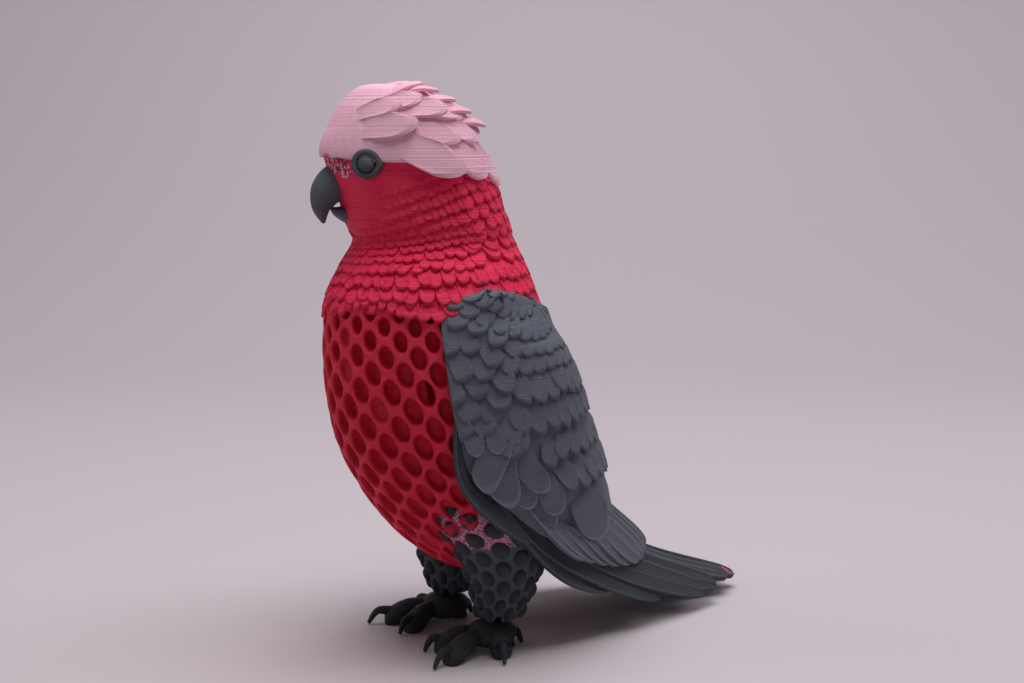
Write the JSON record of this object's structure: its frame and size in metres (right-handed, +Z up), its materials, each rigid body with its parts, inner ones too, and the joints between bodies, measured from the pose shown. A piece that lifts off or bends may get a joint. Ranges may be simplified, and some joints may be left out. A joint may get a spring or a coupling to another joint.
{
  "type": "galah statue",
  "caption": "Printed plastic statue of a standing galah: pink crest, hot pink head and neck, red openwork breast, scaled grey wings, dimpled thighs and a long grey tail",
  "frame": {"origin": "on the floor, under the middle of the statue's bounding box", "axes": "+Z up, the breast faces -Y, the tail points to +Y, and the bird's left side is on +X"},
  "size_m": [0.0636, 0.1298, 0.1501],
  "materials": {
    "crest_pink": "satin, printed in fine level layers",
    "head_pink": "satin, printed in fine level layers",
    "breast_red": "satin, printed in fine level layers",
    "wing_grey": "satin, printed in fine level layers",
    "dark_grey": "satin, printed in fine level layers"
  },
  "bodies": {
    "root": {"crest": "crest_pink", "head": "head_pink", "beak_upper": "dark_grey", "beak_lower": "dark_grey", "neck": "head_pink", "breast": "breast_red", "back": "wing_grey", "tail": "dark_grey", "eye_ring_left": "dark_grey", "eye_left": "dark_grey", "wing_left": "wing_grey", "flight_left": "dark_grey", "thigh_left": "dark_grey", "ankle_left": "dark_grey", "toe_left_outer_front": "dark_grey", "toe_left_inner_front": "dark_grey", "toe_left_outer_back": "dark_grey", "toe_left_inner_back": "dark_grey", "eye_ring_right": "dark_grey", "eye_right": "dark_grey", "wing_right": "wing_grey", "flight_right": "dark_grey", "thigh_right": "dark_grey", "ankle_right": "dark_grey", "toe_right_outer_front": "dark_grey", "toe_right_inner_front": "dark_grey", "toe_right_outer_back": "dark_grey", "toe_right_inner_back": "dark_grey"}
  },
  "joints": []
}
